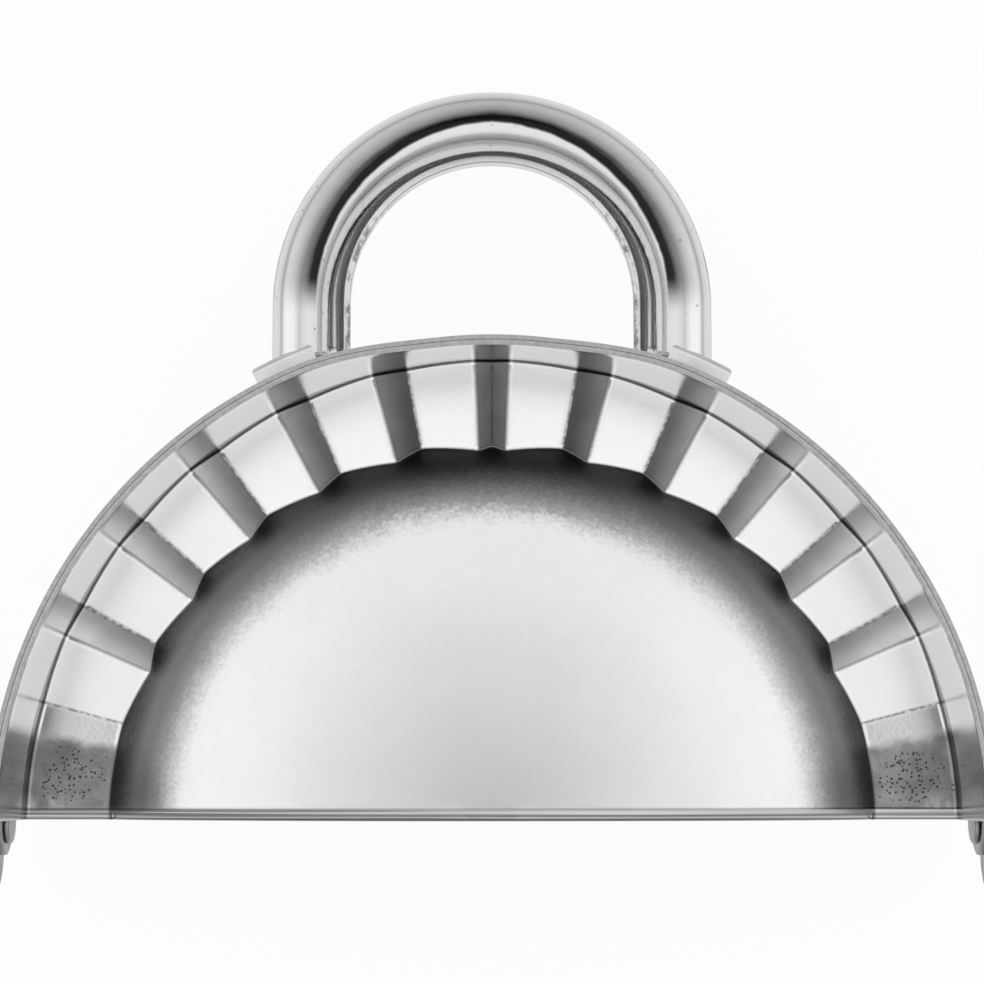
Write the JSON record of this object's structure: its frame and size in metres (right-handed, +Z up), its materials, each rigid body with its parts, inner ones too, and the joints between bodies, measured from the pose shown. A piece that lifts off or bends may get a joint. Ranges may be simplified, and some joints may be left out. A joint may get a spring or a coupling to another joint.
{
  "type": "ravioli mold",
  "caption": "Hinged stainless steel ravioli and dumpling press: two pleated half-round moulds with dough-cutting rims and arch handles, closed.",
  "frame": {"origin": "on the table below the middle of the closed press's bounding box, with the press lying on the rear half's rim; the hinge axis is at Y -33.2 mm and Z 13.8 mm", "axes": "+X along the hinge, +Y from the hinge toward the handles, +Z up, from the rear half to the front half"},
  "size_m": [0.1002, 0.0802, 0.0276],
  "materials": {
    "plate_steel": "satin",
    "rim_steel": "satin",
    "handle_steel": "polished",
    "hinge_steel": "satin"
  },
  "bodies": {
    "rear_half": {"rear_mould_plate": "plate_steel", "rear_cutter_band": "rim_steel", "rear_handle": "handle_steel", "rear_right_foot_pad": "plate_steel", "rear_left_foot_pad": "plate_steel", "rear_right_ear": "hinge_steel", "rear_left_ear": "hinge_steel", "right_hinge_rivet": "hinge_steel", "left_hinge_rivet": "hinge_steel"},
    "front_half": {"front_mould_plate": "plate_steel", "front_cutter_band": "rim_steel", "front_handle": "handle_steel", "front_right_foot_pad": "plate_steel", "front_left_foot_pad": "plate_steel", "front_right_ear": "hinge_steel", "front_left_ear": "hinge_steel"}
  },
  "joints": [
    {"name": "mould_hinge", "type": "hinge", "parent": "rear_half", "child": "front_half", "pos_m": [0, -0.0332, 0.0138], "axis": [1, 0, 0], "range_deg": [0, 180]}
  ]
}
